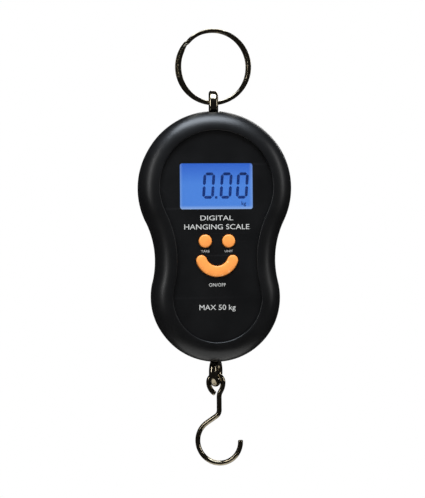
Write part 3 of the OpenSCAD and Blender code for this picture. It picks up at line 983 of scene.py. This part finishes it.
def box_mesh(low: Sequence[float], high: Sequence[float]) -> bpy.types.Object:
    """A box between two corners, for cutting.

    Args:
        low: Lowest X, Y and Z in millimetres.
        high: Highest X, Y and Z.

    Returns:
        The box.
    """
    xs, ys, zs = zip(low, high)
    points = np.array([(x, y, z) for x in xs for y in ys for z in zs]) * MM
    faces = [(0, 1, 3, 2), (4, 6, 7, 5), (0, 4, 5, 1), (2, 3, 7, 6), (0, 2, 6, 4), (1, 5, 7, 3)]
    return outward(mesh_object("cutter", points, faces, smooth=False))


def upright_rod(radius: float, low: float, high: float) -> bpy.types.Object:
    """A rod about the Z axis, for cutting.

    Args:
        radius: Its radius in millimetres.
        low: Z of its foot.
        high: Z of its top.

    Returns:
        The rod.
    """
    points, faces = revolve([(0, low), (radius, low), (radius, high), (0, high)])
    return outward(mesh_object("cutter", points * MM, faces, smooth=False))


def cut(piece: bpy.types.Object, cutter: bpy.types.Object) -> None:
    """Cuts one piece with another, and keeps the result as the piece's own mesh.

    Args:
        piece: The piece to cut.
        cutter: What is taken away, which is removed afterwards.
    """
    modifier = piece.modifiers.new("cut", "BOOLEAN")
    modifier.object = cutter
    modifier.operation = "DIFFERENCE"
    modifier.solver = "EXACT"
    bpy.context.view_layer.update()
    shaped = piece.evaluated_get(bpy.context.evaluated_depsgraph_get())
    mesh = bpy.data.meshes.new_from_object(shaped)
    piece.modifiers.clear()
    mesh.name = piece.name
    piece.data = mesh
    mesh.shade_smooth()
    mesh.set_sharp_from_angle(angle=math.radians(SHELL_SHARP_DEG))
    bpy.data.objects.remove(cutter)


# ---------- buttons ----------


class ButtonShape(Enum):
    """Outline of a button."""

    ROUND = "round"
    SMILE = "smile"


@dataclass
class Button:
    """Domed button with a flange and a stem behind the face."""

    node: str
    shape: ButtonShape
    smile_mm: float = 7.5
    half_deg: float = 70.0
    smile_width_mm: float = 4.8
    round_flange_mm: float = 0.9
    smile_flange_mm: float = 0.8
    shoulder_mm: float = 0.75
    cover_mm: float = 0.8
    flange_back_mm: float = 0.9
    stem_mm: float = 1.1

    def outline(self, inset: float) -> np.ndarray:
        """Outline about the button's centre: a circle, or a band of a ring with round ends.

        Args:
            inset: Distance that the outline is drawn inwards.

        Returns:
            M by 2 points in X and Z.
        """
        if self.shape is ButtonShape.ROUND:
            return disc(self.width() / 2 - inset, 0.0, 0.0)
        return smile(self.smile_mm, self.width() / 2 - inset, self.half_deg, 0.0)

    def hole(self, gap: float) -> np.ndarray:
        """Outline of the hole in the face that leaves a gap all round the button.

        Args:
            gap: Width of the gap.

        Returns:
            M by 2 points in X and Z, in their place.
        """
        return self.outline(-gap) + np.array(self.centre())

    def stem_at(self) -> tuple[float, float]:
        """Place of the stem: the round button's middle, or the foot of the smile's band.

        Returns:
            X and Z.
        """
        low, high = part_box(self.node)
        if self.shape is ButtonShape.ROUND:
            return (low.x + high.x) / 2 / MM, (low.z + high.z) / 2 / MM
        return 0.0, low.z / MM + self.smile_width_mm / 2 + self.smile_flange_mm

    def centre(self) -> tuple[float, float]:
        """Centre of the outline: the stem's place, or the centre of the smile's ring above it."""
        x, z = self.stem_at()
        return (x, z) if self.shape is ButtonShape.ROUND else (x, z + self.smile_mm)

    def width(self) -> float:
        """Width of the crown: the round button's box less its flange, or the smile's band.

        Returns:
            The width in millimetres.
        """
        if self.shape is ButtonShape.SMILE:
            return self.smile_width_mm
        low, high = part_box(self.node)
        return (high.x - low.x) / MM - 2 * self.round_flange_mm

    def build(self) -> bpy.types.Object:
        """Builds the button: crown, shoulder rounded by an arc, straight wall, flange and stem.

        Returns:
            The button.
        """
        low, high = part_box(self.node)
        front, back = low.y / MM, high.y / MM
        face_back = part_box("display_window")[1].y / MM - self.cover_mm
        half = self.width() / 2
        flange = -(self.round_flange_mm if self.shape is ButtonShape.ROUND else self.smile_flange_mm)
        centre, stem = self.centre(), self.stem_at()
        r, flange_back = self.shoulder_mm, face_back + self.flange_back_mm
        crown = [(half * 0.93, front), (half * 0.6, front + 0.04), (half * 0.4, front + 0.1)]
        shoulder = [(r * (1 - math.sin(t)), front + 0.16 + r * (1 - math.cos(t)))
                    for t in np.radians(np.linspace(8, 90, 8))]
        foot = [(0.0, face_back + 0.05), (flange, face_back + 0.1), (flange, flange_back),
                (half * 0.9, flange_back)]
        points, faces = loft(self.outline, crown + shoulder + foot)
        points += np.array([centre[0], 0, centre[1]])
        length = back - flange_back
        rod, rod_faces = revolve([(0, 0), (self.stem_mm, 0.001), (self.stem_mm, length), (0, length)], 32)
        rod = np.stack([rod[:, 0] + stem[0], rod[:, 2] + flange_back, rod[:, 1] + stem[1]], -1)
        points, faces = join_parts([(points, faces), (rod, rod_faces)])
        return outward(mesh_object(self.node + "_cap", points * MM, faces, sharp_deg=50))


# ---------- display and print ----------


@dataclass
class Readout:
    """Three figures 0 of seven-segment type on the glass, leaning a little, with a point."""

    figures_x_mm: tuple[float, ...]
    centre_z_mm: float
    width_mm: float = 5.35
    height_mm: float = 11.9
    thick_mm: float = 1.3
    lean: float = 0.07
    gap_mm: float = 0.16
    point_mm: float = 1.1
    stand_off_mm: float = 0.05
    depth_mm: float = 0.045

    def segments(self) -> list[np.ndarray]:
        """Six-pointed outlines of the six lit segments about the figure's centre.

        Each is given by its middle and its length: two lie flat, and four stand.

        Returns:
            Six outlines of 6 by 2 points.
        """
        w, h, t = self.width_mm - self.thick_mm, (self.height_mm - self.thick_mm) / 2, self.thick_mm / 2
        rows = [(w, 0, h, False), (h, w / 2, h / 2, True), (h, w / 2, -h / 2, True),
                (w, 0, -h, False), (h, -w / 2, -h / 2, True), (h, -w / 2, h / 2, True)]
        outlines = []
        for length, x, z, upright in rows:
            half = length / 2 - self.gap_mm
            shape = np.array([[-half, 0], [t - half, t], [half - t, t],
                              [half, 0], [half - t, -t], [t - half, -t]])
            if upright:
                shape = shape[:, ::-1] * np.array([1, -1])
            outlines.append(shape + np.array([x, z]))
        return outlines

    def build(self) -> bpy.types.Object:
        """Builds the lit segments and the point, a hair in front of the glass.

        Returns:
            The figures.
        """
        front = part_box("lcd_panel")[0].y / MM - self.stand_off_mm
        profile = [(0.0, front), (0.0, front + self.depth_mm)]
        outlines = []
        for x in self.figures_x_mm:
            for flat in self.segments():
                flat[:, 0] += flat[:, 1] * self.lean + x
                flat[:, 1] += self.centre_z_mm
                outlines.append(flat)
        inside = self.point_mm / 2 + 0.05
        corner = np.array([(self.figures_x_mm[0] + self.figures_x_mm[1]) / 2 - inside,
                           self.centre_z_mm - self.height_mm / 2 + inside])
        square = np.array([[-1, -1], [-1, 1], [1, 1], [1, -1]])
        outlines.append(self.point_mm / 2 * square + corner)
        points, faces = join_parts([loft(lambda inset, flat=flat: flat, profile) for flat in outlines])
        return outward(mesh_object("readout_segments", points * MM, faces, smooth=False))


@dataclass(frozen=True)
class Legend:
    """One row of generic words: the height of a capital, its middle and its width."""

    name: str
    words: str
    height_mm: float
    x_mm: float
    z_mm: float
    width_mm: float = 0.0
    bold_mm: float = 0.0
    thick_mm: float = 0.03

    def build(self, y_mm: float) -> bpy.types.Object:
        """Builds the words as a thin mesh that is read from the front.

        The font's outline is centred, scaled to the height, stretched to the width where one
        is given, and turned to face along -Y.

        Args:
            y_mm: Where their back lies.

        Returns:
            The words.
        """
        curve = bpy.data.curves.new(self.name + "_curve", "FONT")
        curve.body = self.words
        curve.size = 1.0
        curve.resolution_u = 3
        curve.extrude = 0.01
        curve.offset = self.bold_mm / self.height_mm * 0.7
        helper = bpy.data.objects.new(self.name + "_helper", curve)
        bpy.context.scene.collection.objects.link(helper)
        bpy.context.view_layer.update()
        mesh = bpy.data.meshes.new_from_object(helper.evaluated_get(bpy.context.evaluated_depsgraph_get()))
        bpy.data.objects.remove(helper)
        flat = np.empty(len(mesh.vertices) * 3)
        mesh.vertices.foreach_get("co", flat)
        flat = flat.reshape(-1, 3)
        low, high = flat.min(0), flat.max(0)
        scale = self.height_mm / (high[1] - low[1])
        stretch = self.width_mm / (high[0] - low[0]) if self.width_mm else scale
        centred = flat - (low + high) / 2
        points = np.stack([
            centred[:, 0] * stretch + self.x_mm,
            y_mm - self.thick_mm / 2 - centred[:, 2] / (high[2] - low[2]) * self.thick_mm,
            centred[:, 1] * scale + self.z_mm], -1) * MM
        mesh.vertices.foreach_set("co", points.ravel())
        mesh.update()
        mesh.name = self.name
        piece = bpy.data.objects.new(self.name, mesh)
        bpy.context.scene.collection.objects.link(piece)
        return outward(piece, weld=True)


# ---------- studio ----------


@dataclass
class Studio:
    """Camera, soft lights, white surroundings and a pale floor."""

    lens_mm: float = 100.0
    sensor_mm: float = 36.0
    view_height_mm: float = 229.0
    centre_mm: tuple[float, float] = (-1.0, -83.7)
    azimuth_deg: float = -5.0
    roll_deg: float = 0.5
    fill: float = 0.9
    mirror: float = 0.02
    floor_mm: float = -450.0
    floor_radius_mm: float = 260.0
    floor_thick_mm: float = 6.0
    floor_edge_mm: float = 3.0

    def camera(self) -> None:
        """Sets a long lens in front of the scale, turned a little towards its left side."""
        data = bpy.data.cameras.new("camera")
        data.lens = self.lens_mm
        data.sensor_width = self.sensor_mm
        data.clip_end = 20
        eye = bpy.data.objects.new("camera", data)
        bpy.context.scene.collection.objects.link(eye)
        distance = self.view_height_mm * self.lens_mm / self.sensor_mm * MM
        turn = math.radians(self.azimuth_deg)
        target = Vector((self.centre_mm[0] * MM, 0, self.centre_mm[1] * MM))
        back = Vector((math.sin(turn), -math.cos(turn), 0))
        eye.location = target + back * distance
        eye.rotation_euler = (math.radians(90), math.radians(self.roll_deg), turn)
        bpy.context.scene.camera = eye

    def light(self, name: str, at: tuple[float, float, float], size: tuple[float, float], power: float,
              aim: tuple[float, float, float] = (0, 0, -0.08), tint: str = "#ffffff") -> None:
        """Adds one soft box that looks at a point.

        Args:
            name: Name of the light.
            at: Where it stands, in metres.
            size: Width and height in metres.
            power: Watts.
            aim: Point that it looks at.
            tint: Its colour.
        """
        data = bpy.data.lights.new(name, "AREA")
        data.shape = "RECTANGLE"
        data.size, data.size_y = size
        data.energy = power
        data.color = linear(tint)[:3]
        lamp = bpy.data.objects.new(name, data)
        lamp.location = at
        lamp.rotation_euler = (Vector(aim) - Vector(at)).to_track_quat("-Z", "Y").to_euler()
        bpy.context.scene.collection.objects.link(lamp)

    def surroundings(self) -> None:
        """White to the eye, dimmer to the object, so that black stays black."""
        world = bpy.data.worlds.new("studio")
        bpy.context.scene.world = world
        world.use_nodes = True
        tree = world.node_tree
        tree.nodes.clear()
        path = add_node(tree, "ShaderNodeLightPath")
        seen = add_node(tree, "ShaderNodeBackground", inputs={"Color": grey(1.0), "Strength": 1.0})
        felt = add_node(tree, "ShaderNodeBackground", inputs={"Color": grey(1.0), "Strength": self.fill})
        mirrored = add_node(tree, "ShaderNodeBackground", inputs={
            "Color": grey(1.0), "Strength": self.mirror})
        soft = add_node(tree, "ShaderNodeMixShader", inputs={
            "Fac": path.outputs["Is Glossy Ray"], 1: felt.outputs[0], 2: mirrored.outputs[0]})
        mix = add_node(tree, "ShaderNodeMixShader", inputs={
            "Fac": path.outputs["Is Camera Ray"], 1: soft.outputs[0], 2: seen.outputs[0]})
        add_node(tree, "ShaderNodeOutputWorld", inputs={"Surface": mix.outputs[0]})

    def floor(self) -> None:
        """A pale, round, matt floor below the hanging scale."""
        top, radius, edge = self.floor_mm, self.floor_radius_mm, self.floor_edge_mm
        foot = top - self.floor_thick_mm
        profile = [(0, foot), (radius - edge, foot), (radius, foot + edge), (radius - edge, top), (0, top)]
        points, faces = revolve(profile, 160)
        piece = outward(mesh_object("floor", points * MM, faces))
        paint = Finish("pale_painted_floor", "#dcdad6", "#d6d4cf", roughness=0.7, stain_mm=120, grain_mm=3)
        piece.data.materials.append(paint.build())

    def build(self) -> None:
        """Sets up the camera, the lights, the surroundings and the floor."""
        scene = bpy.context.scene
        scene.view_settings.view_transform = "Standard"
        self.camera()
        self.surroundings()
        self.floor()
        # a cool broad box over the rim, a strip for each side's edge, and a box for the back
        self.light("overhead_box", at=(-0.04, -0.14, 0.36), size=(0.42, 0.24), power=4.0,
                   aim=(0, 0, -0.03), tint="#e4eefa")
        self.light("left_strip", at=(-0.5, -0.32, 0.1), size=(0.05, 0.4), power=0.75)
        self.light("rear_box", at=(0.25, 0.75, 0.35), size=(0.5, 0.4), power=3.0)
        self.light("right_strip", at=(0.55, -0.28, 0.1), size=(0.05, 0.4), power=0.6)


# ---------- the scale ----------


@dataclass
class Scale:
    """The whole scale: finishes first, then the pieces that replace or add to CAD nodes."""

    lower_turn_deg: float = -19.0
    upper_turn_deg: float = -5.0
    window_flange_mm: tuple[float, float] = (1.2, 1.1)
    window_gap_mm: float = 0.15
    window_corner_mm: float = 1.1
    button_gap_mm: float = 0.3
    top_slot_mm: tuple[tuple[float, ...], ...] = ((-2.45, -8.4, -24.85), (2.45, 1.0, -15.0))
    foot_bore_mm: tuple[float, ...] = (5.1, -138.0, -133.1)
    button_shapes: dict[str, ButtonShape] = field(default_factory=lambda: {
        "tare_button": ButtonShape.ROUND, "unit_button": ButtonShape.ROUND,
        "power_button": ButtonShape.SMILE})
    finishes: dict[str, bpy.types.Material] = field(default_factory=dict)

    def mix_finishes(self) -> None:
        """Builds every finish, one for each material slot of the record."""
        glass_low, glass_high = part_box("display_window")
        cell_low, cell_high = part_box("battery_cells")
        recipes = {
            # nickel over steel wire: mirror-bright, with a warm grey cast
            "plated_steel": Finish(
                "nickel_plated_steel", "#b0a691", "#857a64", metallic=1.0, roughness=0.13,
                rough_spread=0.05, grain_mm=0.9, grain_depth_mm=0.0015, stain_mm=3),
            # zinc on small screws and nuts: bright, slightly blotchy
            "zinc_steel": Finish(
                "zinc_plated_steel", "#c9ccd0", "#a4a8ad", metallic=1.0, roughness=0.3,
                grain_depth_mm=0.004, stain_mm=2),
            # black oxide on the case screws: dark, oily sheen
            "black_steel": Finish(
                "black_oxide_steel", "#26272a", "#3a3b3e", metallic=1.0, roughness=0.42, stain_mm=1.5),
            # black ABS from a spark-eroded mould: soft satin sheen, fine grain, and a faint painted
            # highlight along its convex edges
            "case_black": EdgeHighlightPlastic(
                "moulded_black_abs", "#0c0c0d", "#101011", roughness=0.36, rough_spread=0.03,
                grain_mm=0.22, grain_depth_mm=0.005, stain_mm=14, edge="#222224", specular=0.42),
            # polycarbonate: almost unseen but for its gloss
            "window_clear": ClearPane("clear_polycarbonate", "#20304a"),
            # liquid crystal between glass plates: a blue glow, paler along its foot and sides
            "display_glass": LitDisplay(
                "backlit_crystal_glass", "#0b1630", roughness=0.25, strength=0.92,
                low=glass_low, high=glass_high),
            # blue acrylic light guide: glossy under a thin coat
            "light_guide": Finish("blue_acrylic", "#3f6fff", "#355fe0", roughness=0.15, coat=0.3),
            # polystyrene holder: plain white
            "frame_white": Finish("white_polystyrene", "#dedcd6", "#d3d1cb", roughness=0.45),
            # carbon-filled silicone: dull, nearly black
            "rubber_grey": Finish("carbon_silicone", "#2c2c2e", "#343437", roughness=0.75, grain_mm=0.12),
            # solder mask on glass epoxy: satin green
            "board_green": PrintedBoard("glass_epoxy_board", "#1e5c33", "#23683a", roughness=0.35),
            # potting epoxy: a glossy dark drop
            "chip_black": Finish(
                "potting_epoxy", "#101012", "#17171a", roughness=0.2, coat=0.4, grain_depth_mm=0.003),
            # drawn aluminium: soft bright, with fine lines
            "can_aluminium": Finish(
                "drawn_aluminium_can", "#b9bcc0", "#a7aaae", metallic=1.0, roughness=0.35, drawn=(1, 9, 1)),
            # milled aluminium: long fine tool marks
            "beam_aluminium": Finish(
                "milled_aluminium", "#c6c9cc", "#b3b6ba", metallic=1.0, roughness=0.32,
                grain_mm=0.5, grain_depth_mm=0.01, drawn=(0.15, 1, 1)),
            # constantan foil under polyimide: amber with a copper glint
            "gauge_foil": Finish(
                "gauge_foil", "#c07a34", "#a9652a", metallic=0.6, roughness=0.35, drawn=(6, 1, 1)),
            # soft PVC on the leads: a dull gloss
            "cable_grey": Finish("grey_pvc", "#77797d", "#6a6c70", roughness=0.5),
            "lead_red": Finish("red_pvc", "#b3201c", "#9d1b18", roughness=0.45),
            "lead_black": Finish("black_pvc", "#18181a", "#202022", roughness=0.45),
            # turned brass: yellow, with fine turning marks
            "turned_brass": Finish(
                "turned_brass", "#c4a35a", "#ab8a45", metallic=1.0, roughness=0.25, drawn=(1, 1, 8)),
            # nylon washer: waxy off-white
            "nylon_white": Finish("natural_nylon", "#e6e1d2", "#dbd5c4", roughness=0.5),
            # shrink film on the cells: glossy black with a copper band
            "cell_wrap": BandedSleeve(
                "printed_shrink_sleeve", "#202226", "#b98a3c", roughness=0.25, coat=0.2,
                middle_z=(cell_low.z + cell_high.z) / 2),
            # orange ABS caps: soft satin, with a pale painted highlight along the rounded edges
            "button_orange": EdgeHighlightPlastic(
                "moulded_orange_abs", "#ec9442", "#e48a38", roughness=0.42, rough_spread=0.05,
                grain_mm=0.2, grain_depth_mm=0.006, stain_mm=3, edge="#ffd8a8"),
            # white screen ink: matt, thin, slightly uneven
            "print_white": Finish(
                "white_screen_ink", "#bdbdba", "#a4a4a0", roughness=0.7, grain_mm=0.1, stain_mm=0.8),
            # segments of the display: dark blue against the glow
            "segment_blue": Finish("segment_ink", "#082c70", "#0a317a", roughness=0.3, stain_mm=3),
        }
        self.finishes = {slot: recipe.build() for slot, recipe in recipes.items()}

    def dress_nodes(self) -> None:
        """Gives every CAD node the finish of its slot."""
        for row in frame["record"]["subparts"]:
            node = frame["nodes"][row["node"]]
            node.data.materials.clear()
            node.data.materials.append(self.finishes[row["material_slot"]])

    def add(self, piece: bpy.types.Object, body: str, slot: str, *replaces: str) -> None:
        """Dresses a new piece in the finish of its slot, puts it on its body and reports it.

        Args:
            piece: The finished object.
            body: Body that it moves with.
            slot: Material slot of the record.
            replaces: CAD nodes that it stands for.
        """
        piece.data.materials.clear()
        piece.data.materials.append(self.finishes[slot])
        if replaces:
            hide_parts(*replaces)
        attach(piece, body)
        log.info("%s rides on %s", piece.name, body)

    def metalwork(self) -> None:
        """Ring, both eyes and the hook."""
        upper = EyeBolt("top_eye_bolt", self.upper_turn_deg, shank_up=False, flat_power=2.8, widen=1.1)
        lower = EyeBolt("bottom_eye_bolt", self.lower_turn_deg, shank_up=True)
        self.add(SplitRing().build(), "ring", "plated_steel", "split_ring")
        self.add(upper.build(), "case", "plated_steel", "top_eye_bolt")
        self.add(lower.build(), "lower_eye", "plated_steel", "bottom_eye_bolt")
        self.add(WireHook(self.lower_turn_deg).build(), "hook", "plated_steel", "weighing_hook")

    def shell(self) -> None:
        """Front rim, with a slot for the upper eye and a bore for the lower one, and the face.

        Each hole in the face is a little larger than the button that stands in it, or than the
        window without the flange that it has behind the face.
        """
        outline = ShellOutline()
        rim = FrontRim(outline).build()
        cut(rim, box_mesh(*self.top_slot_mm))
        cut(rim, upright_rod(*self.foot_bore_mm))
        self.add(rim, "case", "case_black", "front_cover")
        low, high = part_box("display_window")
        past_x, past_z = (2 * (self.window_gap_mm - flange) for flange in self.window_flange_mm)
        holes = [rounded_box((high.x - low.x) / MM + past_x, (high.z - low.z) / MM + past_z,
                             self.window_corner_mm, 0, (low.z + high.z) / 2 / MM)]
        holes += [Button(node, shape).hole(self.button_gap_mm) for node, shape in self.button_shapes.items()]
        self.add(FacePanel(outline, holes).build(), "case", "case_black")

    def buttons(self) -> None:
        """Two round buttons and the smile."""
        for node, shape in self.button_shapes.items():
            self.add(Button(node, shape).build(), node, "button_orange", node)

    def display(self) -> None:
        """Figures and the unit on the glass."""
        low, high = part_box("display_window")
        middle = (low.z + high.z) / 2 / MM
        figures = Readout(figures_x_mm=(-3.3, 4.6, 12.0), centre_z_mm=middle + 0.35)
        unit = Legend("readout_unit", "kg", height_mm=2.3, x_mm=12.6, z_mm=middle - 8.0, bold_mm=0.05)
        self.add(figures.build(), "case", "segment_blue")
        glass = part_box("lcd_panel")[0].y / MM
        self.add(unit.build(glass - 0.01), "case", "segment_blue")

    def print_marks(self) -> None:
        """Generic white legends on the face, which lies behind the front of the window."""
        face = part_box("display_window")[0].y / MM - 0.15
        side = Button("unit_button", ButtonShape.ROUND).centre()[0]
        legends = [Legend("legend_kind", "DIGITAL", 2.2, 0.0, -69.7, 14.8),
                   Legend("legend_use", "HANGING SCALE", 2.3, 0.0, -73.7, 29.5),
                   Legend("legend_tare", "TARE", 1.0, -side, -84.7, 3.9),
                   Legend("legend_unit", "UNIT", 1.0, side, -84.7, 3.7),
                   Legend("legend_power", "ON/OFF", 1.5, 0.0, -99.9, 7.6),
                   Legend("legend_range", "MAX 50 kg", 3.1, 0.0, -110.4, 16.4)]
        for legend in legends:
            self.add(legend.build(face), "case", "print_white")

    def build(self) -> None:
        """Builds the scale in order."""
        self.mix_finishes()
        self.dress_nodes()
        self.metalwork()
        self.shell()
        self.buttons()
        self.display()
        self.print_marks()


def main() -> None:
    """Builds the studio and the scale."""
    logging.basicConfig(level=logging.INFO, format="%(message)s")
    Studio().build()
    Scale().build()
    bpy.context.view_layer.update()


if __name__ == "__main__": main()
